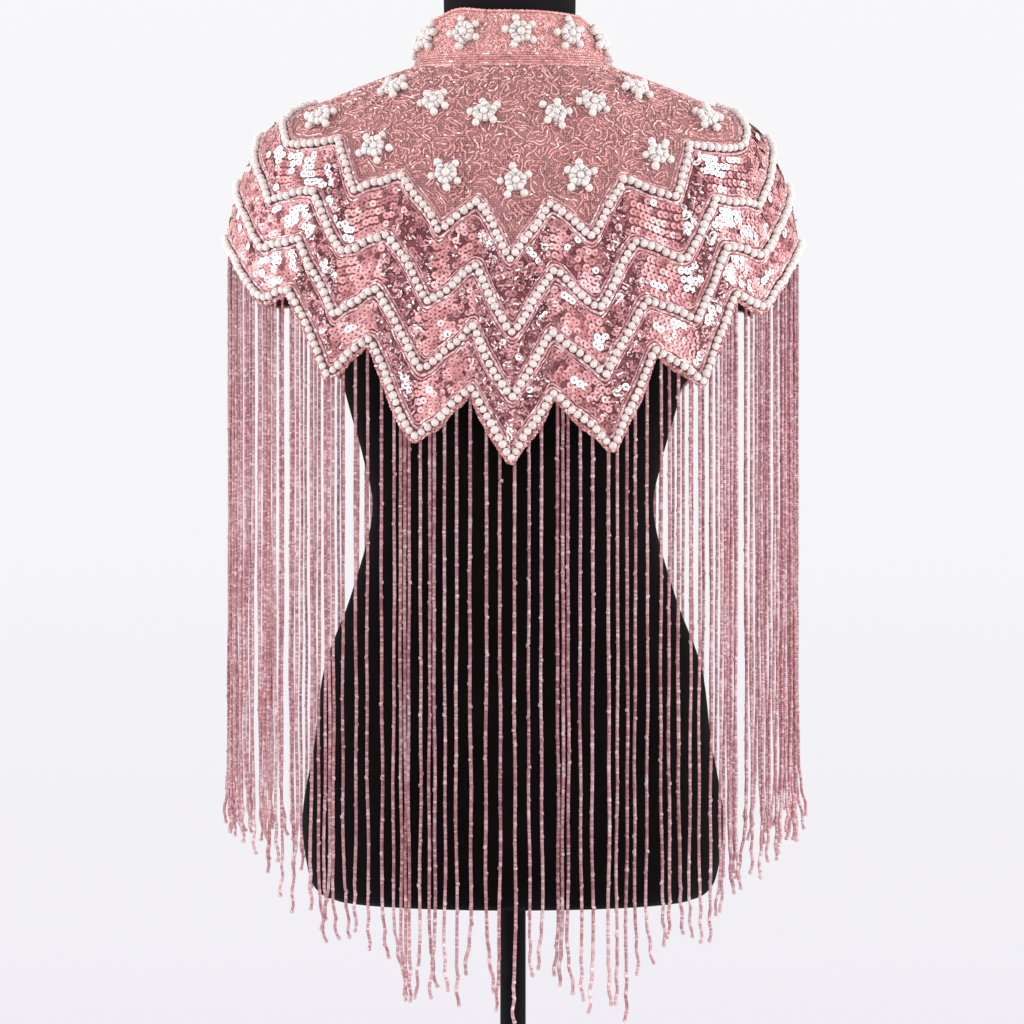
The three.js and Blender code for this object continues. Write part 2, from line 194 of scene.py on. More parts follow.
def relief(turn, ring):
    """How far the cape's cloth stands off its ring table."""
    high = RIPPLE * (1 + np.sin(0.19 * turn + 1.9 * ring) * np.sin(0.11 * turn - 1.3 * ring + 1))
    for at, lean, first, last, width, height in FOLDS:
        across = (turn - at - lean * (ring - first)) / width
        ends = rise(ring, first, FOLD_END) * rise(-ring, -last, FOLD_END)
        high = high + height * MM * np.exp(-(across**2)) * ends
    return high


def bowed(turn, ring):
    """Turns and rings as the hand-laid rows have them, which bow and wander a few millimetres."""
    loose = rise(ring, 0, 2.5)  # not at the neck
    inside = rise(-np.abs(turn), -180, 14)  # nor at the front edges
    aside_by = -BOW * np.cos(0.233 * (turn + 3.5)) - SWAY * np.sin(0.47 * turn + 1.6 * ring)
    down_by = SAG * np.sin(0.41 * turn + 1.3 * ring + 0.6)
    down_by = down_by + WAVER * np.sin(0.93 * turn - 2.1 * ring)
    return turn + aside_by * loose * inside, ring + down_by * loose * inside


def on_cape(turn, ring):
    turn, ring = bowed(*matched(turn, ring))
    normal = steps(lambda a, b: bare(CAPE, a, b), turn, ring)[2]
    return bare(CAPE, turn, ring) + normal * relief(turn, ring)[..., None]


def on_collar(turn, ring):
    """The stand collar: its top edge is higher on the left of the back and drawn in on the right."""
    turn, ring = matched(turn, ring)
    right = np.clip(np.sin(np.radians(turn)), 0, 1) ** 2
    higher = LEFT_RISE * np.exp(-(((turn + 40) / 17) ** 2)) - RIGHT_DIP * rise(right, 0.7, 0.25)
    points = bare(COLLAR, turn, ring)
    points[..., 0] -= RIGHT_IN * right * (1 - ring / 2)
    points[..., 2] += higher * np.clip(1 - ring / 1.2, 0, 1)
    return points


def moved(place, turn, ring, vectors):
    """Turns and rings reached from a point by tangent vectors."""
    a, b, _ = steps(place, turn, ring)
    aa, ab, bb = (a * a).sum(-1), (a * b).sum(-1), (b * b).sum(-1)
    va, vb = (vectors * a).sum(-1), (vectors * b).sum(-1)
    size = aa * bb - ab * ab
    return turn + (va * bb - vb * ab) / size, ring + (vb * aa - va * ab) / size


# ---- rows of the zigzag ----
def all_round(quarter):
    """A quarter's values at all corners, from the centre front round the left, back and right."""
    return np.concatenate([quarter, quarter[-2::-1], quarter[1:], quarter[-2::-1]])


def turns_round(quarter):
    """The turns of all corners, in the same order."""
    back = quarter[-2::-1]
    return np.concatenate([quarter - 180, -back, quarter[1:], 180 - back])


def row_corners(row):
    """Turn and ring of every corner of a pearl row."""
    share = row / HEM_ROW
    turn = turns_round(ZIGZAG[:, 0] * (1 - share) + ZIGZAG[:, 1] * share)
    ring = all_round(ZIGZAG[:, FIRST_ROW_COLUMN + row])
    ring = ring + LEAN * np.tanh(np.sin(np.radians(turn)) / 0.2)
    return turn, ring - FRONT_LIFT * share * rise(np.abs(turn), 95, 30)


def between(turn, ring, parts):
    """The same line with each of its stretches cut into equal parts."""
    k = np.arange(len(turn))
    fine = np.linspace(0, len(turn) - 1, (len(turn) - 1) * parts + 1)
    return np.interp(fine, k, turn), np.interp(fine, k, ring)


def aside(turn, ring, distance, widest=1.6):
    """A line round the cape, moved sideways and down by a distance, with mitred corners."""
    turn, ring = between(turn, ring, 3)
    t = np.concatenate([[turn[-2] - 360], turn, [turn[1] + 360]])
    r = np.concatenate([[ring[-2]], ring, [ring[1]]])
    p = on_cape(t, r)
    normal = steps(on_cape, t, r)[2]
    sides = unit(np.cross(p[1:] - p[:-1], normal[1:]))
    side = unit(sides[:-1] + sides[1:])
    mitre = np.minimum(1 / (side * sides[:-1]).sum(-1), widest)
    return moved(on_cape, turn, ring, side * (mitre * distance)[:, None])


def rounded(turn, ring, reach=6):
    """A line of the zigzag with STRETCH points an edge, its corners rounded over a reach of points."""
    parts = STRETCH * 4 * QUARTER_CORNERS // (len(turn) - 1)
    window = np.ones(2 * reach + 1) / (2 * reach + 1)
    return [
        np.convolve(np.pad(v, reach, mode="reflect", reflect_type="odd"), window, "valid")
        for v in between(turn, ring, parts)
    ]


def spaced(place, turn, ring, step, uneven=0.0, gap=FRONT_GAP, meets_corners=False):
    """Turns and rings along a line, about a step apart, from corner to corner if meets_corners."""
    parts = max(FINE_POINTS // len(turn), 1)
    turn, ring = between(turn, ring, parts)
    lengths = np.linalg.norm(np.diff(place(turn, ring), axis=0), axis=-1)
    along = np.concatenate([[0], np.cumsum(lengths)])
    stops = along[:: STRETCH * parts] if meets_corners else along[[0, -1]]
    at = np.concatenate([
        np.linspace(a, b, max(round((b - a) / step), 1), endpoint=False)
        for a, b in zip(stops, stops[1:])
    ])
    at += rng.uniform(-uneven, uneven, len(at)) * step
    turn, ring = np.interp(at, along, turn), np.interp(at, along, ring)
    kept = np.abs(turn) <= 180 - gap
    return turn[kept], ring[kept]


# ---- meshes ----
def shown(name, data):
    """A new object in the scene."""
    made = bpy.data.objects.new(name, data)
    bpy.context.scene.collection.objects.link(made)
    return made


def piece(name, points, faces, materials, slot, replaces=(), second=None, **values):
    """A piece on the root body, with values at its points; second marks the lining's faces."""
    mesh = bpy.data.meshes.new(name)
    mesh.vertices.add(len(points))
    mesh.vertices.foreach_set("co", np.asarray(points, np.float32).ravel())
    loops = np.concatenate([f.ravel() for f in faces]).astype(np.int32)
    sizes = np.concatenate([np.full(len(f), f.shape[1]) for f in faces])
    mesh.loops.add(len(loops))
    mesh.loops.foreach_set("vertex_index", loops)
    mesh.polygons.add(len(sizes))
    mesh.polygons.foreach_set("loop_start", (np.cumsum(sizes) - sizes).astype(np.int32))
    if second is not None:
        mesh.polygons.foreach_set("material_index", second.astype(np.int32))
    mesh.update(calc_edges=True)
    mesh.shade_smooth()
    for key, value in values.items():
        layer = mesh.attributes.new(key, "FLOAT", "POINT")
        layer.data.foreach_set("value", np.asarray(value, np.float32))
    for material in materials:
        mesh.materials.append(material.material)
    made = shown(name, mesh)
    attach(made, "root")
    if replaces:
        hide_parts(*replaces)
    return made


def copies(shape, origins, axes, scale, *values):
    """Points and faces of a copy of a shape for each origin, along its own axes, and its values."""
    points, faces = shape
    count = len(origins)
    scale = np.broadcast_to(scale, (count, 3))
    placed = origins[:, None] + np.einsum("mk,nkj->nmj", points, axes * scale[:, :, None])
    starts = (np.arange(count) * len(points))[:, None, None]
    faces = [(f[None] + starts).reshape(-1, f.shape[1]) for f in faces]
    return placed.reshape(-1, 3), faces, *(np.repeat(value, len(points)) for value in values)


def grid_faces(rows, columns, is_round=False, start=0):
    """Quads between the points of a grid, its columns closed into a ring if is_round."""
    across = columns if is_round else columns - 1
    i, j = (v.ravel() for v in np.meshgrid(np.arange(rows - 1), np.arange(across), indexing="ij"))
    here, there = i * columns + j, i * columns + (j + 1) % columns
    return start + np.stack([here, here + columns, there + columns, there], 1)


def surface_axes(place, turn, ring, along=None):
    """Axes of pieces laid on a surface: along the line, across it, and outward."""
    per_turn, _, normal = steps(place, turn, ring)
    x = per_turn if along is None else along
    x = unit(x - normal * (x * normal).sum(-1, keepdims=True))
    return np.stack([x, np.cross(normal, x), normal], 1)


def tipped(axes, axis, angle):
    """Axes turned about one of their own."""
    a, b = [k for k in range(3) if k != axis]
    cos, sin = np.cos(angle)[:, None], np.sin(angle)[:, None]
    out = axes.copy()
    out[:, a] = axes[:, a] * cos + axes[:, b] * sin
    out[:, b] = axes[:, b] * cos - axes[:, a] * sin
    return out


def circle(sides):
    """Cosines and sines of equal steps round a circle."""
    angle = np.arange(sides) * 2 * np.pi / sides
    return np.cos(angle), np.sin(angle)


def ball(sides, latitudes):
    """A sphere of diameter 1 with its poles on the third axis."""
    polar = np.linspace(0, np.pi, latitudes + 2)[1:-1, None]
    cos, sin = circle(sides)
    ring = np.stack([np.sin(polar) * cos, np.sin(polar) * sin, np.cos(polar) + 0 * cos], -1)
    ring = ring.reshape(-1, 3)
    points = np.vstack([ring, [0, 0, 1], [0, 0, -1]]) / 2
    k = np.arange(sides)
    following = (k + 1) % sides
    low = (latitudes - 1) * sides
    top = np.stack([k, following, np.full(sides, len(ring))], 1)
    bottom = np.stack([low + following, low + k, np.full(sides, len(ring) + 1)], 1)
    return points, [grid_faces(latitudes, sides, is_round=True), np.vstack([top, bottom])]


def paillette(sides=10, hole=0.19):
    """A flat sequin of diameter 1 with a round hole, its rim turned up a little."""
    cos, sin = circle(sides)
    rim = np.stack([cos, sin, np.full(sides, 0.05)], 1) / 2
    eye = np.stack([cos * hole, sin * hole, 0 * cos], 1)[::2] / 2
    k = np.arange(sides // 2)
    near, middle, far = 2 * k, 2 * k + 1, (2 * k + 2) % sides
    here, there = sides + k, sides + (k + 1) % (sides // 2)
    corners = [(here, near, middle), (here, middle, there), (there, middle, far)]
    return np.vstack([rim, eye]), [np.vstack([np.stack(three, 1) for three in corners])]


def joined(name, parts, material, slot, replaces=(), keys=("tone",)):
    """One piece of several parts, each its points, its faces and its points' values for the keys."""
    faces, start = [], 0
    for points, shapes, *_ in parts:
        faces += [f + start for f in shapes]
        start += len(points)
    points = np.concatenate([part[0] for part in parts])
    values = {key: np.concatenate([part[2 + k] for part in parts]) for k, key in enumerate(keys)}
    return piece(name, points, faces, [material], slot, replaces, **values)


# ---- materials ----
WAVE_BAND = np.pi / 10  # length of one band of a wave texture of scale 1
STRAND_BEAD = 1.5 * MM  # length of a seed bead on a strand


def add_node(tree, kind, choices=None, **inputs):
    """A node with its inputs set, or linked where the value is a socket."""
    node = tree.nodes.new(kind)
    for key, value in (choices or {}).items():
        setattr(node, key, value)
    for key, value in inputs.items():
        socket = node.inputs[int(key[1:]) if key[1:].isdigit() else key.replace("_", " ")]
        if isinstance(value, bpy.types.NodeSocket):
            tree.links.new(value, socket)
        else:
            socket.default_value = value
    return node


def ramp(factor, stops):
    """A colour ramp through stops, each a place and its colour."""
    node = add_node(factor.id_data, "ShaderNodeValToRGB", Fac=factor)
    elements = node.color_ramp.elements
    while len(elements) < len(stops):
        elements.new(0.5)
    for element, (at, *color) in zip(elements, stops):
        element.position = at
        element.color = (*color, 1)
    return node.outputs["Color"]


def calc(operation, *values):
    """The result of a Math node, in the tree of its first value."""
    inputs = {f"_{k}": value for k, value in enumerate(values)}
    choices = {"operation": operation}
    return add_node(values[0].id_data, "ShaderNodeMath", choices, **inputs).outputs["Value"]


def plus(a, b):
    return calc("ADD", a, b)


def times(a, b):
    return calc("MULTIPLY", a, b)


class Material:
    """A material of one Principled shader, and the nodes that feed it."""

    def __init__(self, name, **settings):
        self.material = bpy.data.materials.new(name)
        self.material.use_nodes = True
        self.tree = self.material.node_tree
        self.shader = self.tree.nodes["Principled BSDF"]
        for key, value in settings.items():
            self.shader.inputs[key.replace("_", " ")].default_value = value

    def node(self, kind, choices=None, **inputs):
        return add_node(self.tree, kind, choices, **inputs)

    def attribute(self, name):
        return self.node("ShaderNodeAttribute", {"attribute_name": name}).outputs["Fac"]

    def place(self):
        return self.node("ShaderNodeTexCoord").outputs["Object"]

    def noise(self, scale, detail=2.0):
        node = self.node("ShaderNodeTexNoise", Vector=self.place(), Scale=scale, Detail=detail)
        return node.outputs["Fac"]

    def cells(self, size):
        """Random value and edge distance of cells of a size."""
        node = self.node("ShaderNodeTexVoronoi", Scale=1 / size, Vector=self.place())
        split = self.node("ShaderNodeSeparateColor", Color=node.outputs["Color"])
        return split.outputs["Red"], node.outputs["Distance"]

    def feed(self, name, socket):
        self.tree.links.new(socket, self.shader.inputs[name])

    def paint(self, tone, stops):
        self.feed("Base Color", ramp(tone, stops))

    def bump(self, height, distance, strength=1.0):
        node = self.node("ShaderNodeBump", Strength=strength, Distance=distance, Height=height)
        self.feed("Normal", node.outputs["Normal"])


PEARL = Material(
    "pearl", Roughness=0.45, IOR=1.4, Coat_Weight=0.6, Coat_Roughness=0.14, Sheen_Weight=0.75,
    Sheen_Roughness=0.45, Subsurface_Weight=1.0, Subsurface_Scale=6 * MM,
    Subsurface_Radius=(1.0, 0.9, 0.86),
)
PEARL.paint(
    plus(PEARL.attribute("tone"), times(PEARL.noise(450), 0.3)),
    [(0.0, 0.37, 0.305, 0.29), (0.5, 0.455, 0.388, 0.37), (1.0, 0.58, 0.512, 0.495)],
)
PEARL.bump(PEARL.noise(900, 3), 0.03 * MM, 0.6)

# Sequins by tone, its top a painted white glint, darkened by painted shade at the eye and at the rim.
SEQUIN = Material("sequin", Roughness=0.3, IOR=1.36, Metallic=0.15)
painted_edge_shade = [(at, *[shade] * 3) for at, shade in ((0.2, 0.4), (0.32, 1), (0.84, 1), (0.94, 0.25))]
SEQUIN.paint(
    times(SEQUIN.attribute("tone"), ramp(SEQUIN.attribute("reach"), painted_edge_shade)),
    [(0.0, 0.05, 0.012, 0.017), (0.22, 0.17, 0.05, 0.058), (0.42, 0.39, 0.152, 0.158),
     (0.62, 0.57, 0.285, 0.285), (0.8, 0.69, 0.44, 0.445), (0.93, 0.78, 0.745, 0.76)],
)
SEQUIN.bump(SEQUIN.noise(700), 0.1 * MM, 0.3)

# Seed beads threaded on a strand, each with its own tone.
STRAND = Material(
    "strand", Roughness=0.28, IOR=1.3, Coat_Weight=0.4, Coat_Roughness=0.1, Transmission_Weight=0.68
)
along = calc("DIVIDE", STRAND.attribute("along"), STRAND_BEAD)
number = calc("FLOOR", along)
bead = STRAND.node("ShaderNodeTexWhiteNoise", {"noise_dimensions": "1D"}, W=number)
bead = times(calc("POWER", bead.outputs["Value"], 2.0), 0.62)
mottle = calc("SUBTRACT", STRAND.noise(1100, 1.0), 0.5)
STRAND.paint(
    plus(plus(STRAND.attribute("tone"), bead), mottle),
    [(0.0, 0.27, 0.06, 0.085), (0.25, 0.54, 0.205, 0.245), (0.5, 0.7, 0.365, 0.4),
     (0.75, 0.85, 0.565, 0.585), (1.0, 0.96, 0.82, 0.825)],
)
STRAND.bump(calc("ABSOLUTE", calc("SINE", times(along, np.pi))), 0.5 * MM)

# Black jersey, painted paler at the neck as painted light, where the light falls on it.
JERSEY = Material("black_jersey", Roughness=0.9, Specular_IOR_Level=0.04, Sheen_Weight=0.008)
knit = JERSEY.node(
    "ShaderNodeTexWave", Vector=JERSEY.place(), Scale=420, Distortion=2.0, Detail=2.0
).outputs["Fac"]
height = JERSEY.node("ShaderNodeSeparateXYZ", Vector=JERSEY.place()).outputs["Z"]
neck = JERSEY.node("ShaderNodeMapRange", Value=height, From_Min=0.96, From_Max=1.04, To_Max=0.6)
shade = plus(times(knit, 0.3), JERSEY.noise(30, 4))
JERSEY.paint(
    calc("MULTIPLY_ADD", shade, 0.4, neck.outputs["Result"]),
    [(0.12, 0.0009, 0.0006, 0.0008), (0.4, 0.0036, 0.0024, 0.0031), (1.0, 0.0085, 0.007, 0.0088)],
)
JERSEY.bump(knit, 0.2 * MM, 0.6)

METAL = Material("black_metal", IOR=1.3, Specular_IOR_Level=0.07)
METAL.paint(METAL.noise(25, 3), [(0.3, 0.0022, 0.002, 0.0025), (0.8, 0.005, 0.0047, 0.0056)])
rough = METAL.node("ShaderNodeMapRange", Value=METAL.noise(90, 5), To_Min=0.4, To_Max=0.6)
METAL.feed("Roughness", rough.outputs["Result"])
METAL.bump(METAL.noise(700, 3), 0.05 * MM, 0.5)


def glass_beads(name, stops, size, roughness=0.25, coat=0.4):
    """Small beads, lighter and darker by tone and from cell to cell."""
    m = Material(name, Roughness=roughness, IOR=1.52, Coat_Weight=coat, Coat_Roughness=0.08)
    value, distance = m.cells(size)
    tone = plus(m.attribute("tone"), times(value, 0.35))
    m.paint(calc("SUBTRACT", tone, 0.17), stops)
    m.bump(distance, -0.25 * size)
    return m


def cloth(name, dark, light, weave, size, worms=None):
    """Cloth with a woven bump, in two shades, its threads a size apart.

    worms is the colour, the spacing and the share of the cloth of fine wandering lines of beads.
    """
    m = Material(name, Roughness=0.8, Specular_IOR_Level=0.25, Sheen_Weight=0.05)
    settings = {"Vector": m.place(), "Scale": WAVE_BAND / size, "Distortion": 1.2, "Detail": 1.0}
    threads = [m.node("ShaderNodeTexWave", {"bands_direction": axis}, **settings) for axis in "XZ"]
    woven = times(*(node.outputs["Fac"] for node in threads))
    color = ramp(plus(times(woven, weave), m.noise(60, 4)), [(0.25, *dark), (0.9, *light)])
    if worms is None:
        m.feed("Base Color", color)
        m.bump(woven, 0.3 * MM, 0.8)
        return m
    beads, spacing, share = worms
    level = calc("FRACT", times(m.noise(0.55 / spacing, 1.0), 5.0))
    line = calc("ABSOLUTE", calc("SUBTRACT", level, 0.5))
    mask = ramp(line, [(0.5 * share, 1, 1, 1), (0.5 * share + 0.08, 0, 0, 0)])
    shade = ramp(m.cells(1.3 * MM)[0], [(0.1, *(0.6 * v for v in beads)), (0.9, *beads)])
    both = m.node("ShaderNodeMix", {"data_type": "RGBA"}, _0=mask, _6=color, _7=shade)
    m.feed("Base Color", both.outputs[2])
    m.bump(mask, 0.6 * MM, 0.9)
    return m


SALMON = [
    (0.0, 0.16, 0.05, 0.052), (0.3, 0.39, 0.148, 0.142), (0.6, 0.58, 0.27, 0.258),
    (0.85, 0.74, 0.47, 0.455), (1.0, 0.93, 0.84, 0.83),
]
ROSE = [
    (0.0, 0.15, 0.045, 0.055), (0.3, 0.34, 0.135, 0.145), (0.6, 0.54, 0.275, 0.285),
    (0.85, 0.72, 0.5, 0.51), (1.0, 0.92, 0.85, 0.86),
]
WINE = [
    (0.0, 0.045, 0.013, 0.02), (0.5, 0.15, 0.045, 0.06), (0.85, 0.42, 0.19, 0.21),
    (1.0, 0.9, 0.8, 0.8),
]
SQUIGGLE = glass_beads("salmon_bugles", SALMON, 1.6 * MM)
EDGING = glass_beads("rose_bugles", ROSE, 1.4 * MM, 0.45, 0.1)
CORD = glass_beads("beaded_cord", SALMON, 1.7 * MM, 0.35)
WINE_BEADS = glass_beads("wine_beads", WINE, 1.8 * MM)
NET_WORMS = (0.5, 0.22, 0.215), 2.8 * MM, 0.3
NET = cloth("rose_net", (0.05, 0.016, 0.019), (0.31, 0.142, 0.148), 1.0, 1.9 * MM, NET_WORMS)
PANEL = cloth("wine_panel", (0.05, 0.012, 0.017), (0.26, 0.082, 0.093), 0.6, 1.6 * MM)
COLLAR_WORMS = (0.7, 0.36, 0.34), 2.0 * MM, 0.5
COLLAR_CLOTH = cloth(
    "salmon_collar", (0.17, 0.05, 0.05), (0.48, 0.2, 0.19), 0.5, 1.9 * MM, COLLAR_WORMS
)
LINING = cloth("wine_lining", (0.05, 0.012, 0.013), (0.2, 0.042, 0.046), 0.4, 0.8 * MM)


# ---- cloth shells ----
def shell(name, place, turn, ring, material, slot, thick=1.2 * MM):
    """The thin closed sheet of a cloth node through grids of turns and rings, lined inside."""
    outer = place(turn, ring)
    inner = outer - thick * steps(place, turn, ring)[2]
    rows, columns = turn.shape
    size = rows * columns
    faces = [grid_faces(rows, columns), grid_faces(rows, columns, start=size)[:, ::-1]]
    at = np.arange(size).reshape(rows, columns)
    edge = np.concatenate([at[0, :0:-1], at[:-1, 0], at[-1, :-1], at[:0:-1, -1]])
    following = np.roll(edge, -1)
    rim = np.stack([edge, edge + size, following + size, following], 1)
    lined = np.concatenate([np.zeros(len(faces[0])), np.ones(len(faces[1])), np.zeros(len(rim))])
    points = np.vstack([outer.reshape(-1, 3), inner.reshape(-1, 3)])
    made = [f"{name}_cloth", points, [*faces, rim], [material, LINING], slot, [name]]
    piece(*made, second=lined)


def stacked(lines, parts):
    """Grids of turns and rings that run through lines, with parts rows from one to the next."""
    lines = np.array(lines)
    shares = np.arange(parts) / parts
    rows = [a + (b - a) * share for a, b in zip(lines, lines[1:]) for share in shares]
    return np.stack([*rows, lines[-1]], 1)


CORNERS = [row_corners(row) for row in range(len(ROWS))]
SECTIONS = {  # first and last corner
    "front_left": (0, QUARTER_CORNERS),
    "back": (QUARTER_CORNERS, 3 * QUARTER_CORNERS),
    "front_right": (3 * QUARTER_CORNERS, 4 * QUARTER_CORNERS),
}
SEAM = 0.05  # degrees from a seam to a panel's edge


def in_sections(turn):
    """For each section, which of the turns lie in it."""
    return {"front_left": turn < -90, "back": np.abs(turn) <= 90, "front_right": turn > 90}


def beside(row, distance, widest=1.6):
    """The rounded line a distance in mm below a pearl row."""
    return rounded(*aside(*CORNERS[row], distance * MM, widest))


def section_line(line, section, parts=12):
    """The part of an all-round fine line that lies in a section, in parts between corners."""
    first, last = (corner * STRETCH for corner in SECTIONS[section])
    turn, ring = (v[first : last + 1 : STRETCH // parts].copy() for v in line)
    turn[0] += SEAM
    turn[-1] -= SEAM
    return turn, ring


hem_edge = beside(HEM_ROW, 4.4, 1.0)
for section in SECTIONS:
    rows = [section_line(rounded(*corners), section) for corners in CORNERS]
    neck = (rows[0][0], np.zeros(len(rows[0][0])))
    shell(f"yoke_{section}", on_cape, *stacked([neck, rows[0]], 18), NET, "yoke_beadwork")
    panel = stacked([*rows, section_line(hem_edge, section)], 6)
    shell(f"sequin_panel_{section}", on_cape, *panel, PANEL, "sequined_cloth")
grid = np.meshgrid(np.linspace(-179.8, 179.8, 145), np.linspace(0, 1.97, 13))
shell("collar", on_collar, *grid, COLLAR_CLOTH, "collar_beadwork", 1.6 * MM)


# ---- dress form ----
FORM_SIDES = 112
NECK_LEAN = 2.7 * MM  # to the left
form_rings = np.linspace(0, len(FORM) - 1, (len(FORM) - 1) * 6 + 1)[::-1]
turn, ring = np.meshgrid(np.arange(FORM_SIDES) * 360 / FORM_SIDES, form_rings)
points = bare(FORM, turn, ring).reshape(-1, 3)
points[:, 0] -= NECK_LEAN * rise(points[:, 2], 1.0, 45 * MM)
ends = np.arange(len(points)).reshape(turn.shape)[[0, -1]]
faces = [grid_faces(*turn.shape, is_round=True), ends[:1], ends[1:, ::-1]]
piece("form_torso", points, faces, [JERSEY], "form_jersey", ["dress_form"])
for name in ("base", "pole"):
    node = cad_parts[name]
    node.data.materials.clear()
    node.data.materials.append(METAL.material)


# ---- pearls ----
PEARL_BALL = ball(10, 5)
PEARL_STEP = 6.2 * MM  # along a row
# Each pearl of a star, in mm: its reach from the middle, its size and how far it is lifted.
STAR = np.array(
    [(0.4, 7.0, 1.6)] + [(5.6, 6.5, 0.3)] * 5 + [(6.4, 6.5, 0.9)] * 5 + [(11.4, 6.5, 0.2)] * 5
)
# Painted light on the star pearls, against the shade within their heaps.
STAR_PAINTED_LIGHT = 0.22


def pearls(name, origins, axes, sizes, replaces, painted_light=0.0):
    # Painted light: pearls towards the sides are painted lighter against the shade they take there,
    # and star pearls lighter still.
    at_side = rise(np.abs(origins[:, 0]), 0, 220 * MM) ** 2
    tone = rng.uniform(0.16, 0.40, len(origins)) + 0.3 * at_side + painted_light
    made = copies(PEARL_BALL, origins, axes, sizes[:, None], tone)
    return joined(name, [made], PEARL, "pearls", replaces)


def raised(place, turn, ring, height):
    return place(turn, ring) + steps(place, turn, ring)[2] * np.asarray(height)[..., None]


def laid_axes(place, turn, ring):
    """Unit vectors along a surface, round it and down."""
    per_turn, _, normal = steps(place, turn, ring)
    return unit(per_turn), unit(np.cross(normal, unit(per_turn)))


for row, name in enumerate(ROWS):
    turn, ring = spaced(
        on_cape, *rounded(*CORNERS[row], 5), PEARL_STEP, 0.04, meets_corners=True
    )
    count = len(turn)
    sizes = rng.uniform(5.8, 6.8, count) * MM
    axes = surface_axes(on_cape, turn, ring)
    strays = rng.normal(0, 0.28 * MM, (count, 1)) * axes[:, 1]
    lift = sizes / 2 + rng.uniform(0.1, 0.5, count) * MM
    origins = raised(on_cape, turn, ring, lift) + strays
    pearls(f"pearls_{name}", origins, axes, sizes, [f"pearl_row_{name}"])


def star_pearls(place, turn, ring):
    """Origins, axes and sizes of a star of pearls: a heap of eleven with five points."""
    count = len(STAR)
    arms = rng.uniform(0, 2 * np.pi) + np.arange(5) * 2 * np.pi / 5
    angles = np.concatenate([[0], arms + np.pi / 5, arms, arms]) + rng.normal(0, 0.09, count)
    reach = STAR[:, 0] + rng.normal(0, 0.4, count)
    sizes = STAR[:, 1] + rng.normal(0, 0.25, count)
    lift = sizes / 2 + STAR[:, 2] + rng.uniform(0, 0.5, count)
    turn, ring = np.full(count, float(turn)), np.full(count, float(ring))
    across, down = laid_axes(place, turn, ring)
    aim = across * np.cos(angles)[:, None] + down * np.sin(angles)[:, None]
    turn, ring = moved(place, turn, ring, aim * reach[:, None] * MM)
    return raised(place, turn, ring, lift * MM), surface_axes(place, turn, ring), sizes * MM


for name, place, places in (
    ("back", on_cape, BACK_STARS),
    ("front_right", on_cape, FRONT_STARS),
    ("front_left", on_cape, [(-turn, ring) for turn, ring in FRONT_STARS]),
    ("collar", on_collar, [(turn, COLLAR_STAR_RING) for turn in COLLAR_STAR_TURNS]),
):
    nodes = [] if name == "collar" else [f"star_{name}_{k + 1}" for k in range(len(places))]
    made = [np.concatenate(v) for v in zip(*(star_pearls(place, *at) for at in places))]
    pearls(f"stars_{name}", *made, nodes, STAR_PAINTED_LIGHT)


# ---- beads in lines ----
TENT = [(-0.5, 0.0), (-0.34, 0.75), (0.34, 0.75), (0.5, 0.0)]  # section, open below
BUGLE = np.array([(x, y, z) for x in (-0.5, 0.5) for y, z in TENT]), [grid_faces(2, len(TENT))]
SEED = ball(4, 1)  # eight faces


def bead_line(place, turn, ring, width, height, tones, fill=0.93):
    """Tube beads laid end to end along a line, each with its tone."""
    p = place(turn, ring)
    along = p[1:] - p[:-1]
    axes = surface_axes(place, (turn[1:] + turn[:-1]) / 2, (ring[1:] + ring[:-1]) / 2, along)
    length = np.linalg.norm(along, axis=-1)
    scale = np.stack([length * fill, np.full(len(length), width), np.full(len(length), height)], 1)
    return copies(BUGLE, (p[1:] + p[:-1]) / 2, axes, scale, tones)


def strayed(line, distance):
    """A line of turns and rings whose points stray a little from their places."""
    size = (len(line[0]), 1)
    a, b = (rng.normal(0, distance, size) * unit(way) for way in steps(on_cape, *line)[:2])
    return moved(on_cape, *line, a + b)


def bead_tones(count, plain, glints, spread=0.09):
    """Tones about a plain one, some of the beads painted near white as glints, a painted highlight."""
    tone = rng.normal(plain, spread, count)
    bright = rng.random(count) < glints
    tone[bright] = rng.uniform(0.8, 1.0, bright.sum())
    return tone


def toned_line(place, line, width, height, look, fill=0.93):
    """A bead line with tones from a plain one, its share of glints and its spread."""
    tones = bead_tones(len(line[0]) - 1, *look)
    return bead_line(place, *line, width * MM, height * MM, tones, fill)


edging = []
for row in range(len(ROWS)):
    for side in (-1, 1):
        if row == HEM_ROW and side > 0:
            continue
        line = spaced(on_cape, *beside(row, 6.1 * side), 4.4 * MM, 0.25)
        edging.append(toned_line(on_cape, strayed(line, 0.3 * MM), 1.3, 1.5, (0.56, 0.08, 0.13)))
        line = strayed(spaced(on_cape, *beside(row, 3.904 * side), 2.0 * MM, 0.3), 0.25 * MM)
        edging.append(toned_line(on_cape, line, 2.3, 1.9, (0.58, 0.05, 0.14), 0.94))
edging_lines = joined("edging_lines", edging, EDGING, "beaded_cord")


# ---- tubes ----
CORD_TONE = 0.45


def with_ends(values):
    """Values with the first and the last of them doubled."""
    return np.concatenate([values[:1], values, values[-1:]])


def tube(points, radius, normals, sides=8):
    """A round tube along points, closed by its own last rings drawn in."""
    along = with_ends(unit(np.gradient(points, axis=0)))
    points, radius = with_ends(points), np.concatenate([[0.0], radius, [0.0]])
    side = unit(np.cross(along, with_ends(normals)))
    up = np.cross(side, along)
    cos, sin = circle(sides)
    turned = side[:, None] * cos[:, None] + up[:, None] * sin[:, None]
    points = (points[:, None] + turned * radius[:, None, None]).reshape(-1, 3)
    return points, [grid_faces(len(radius), sides, is_round=True)]


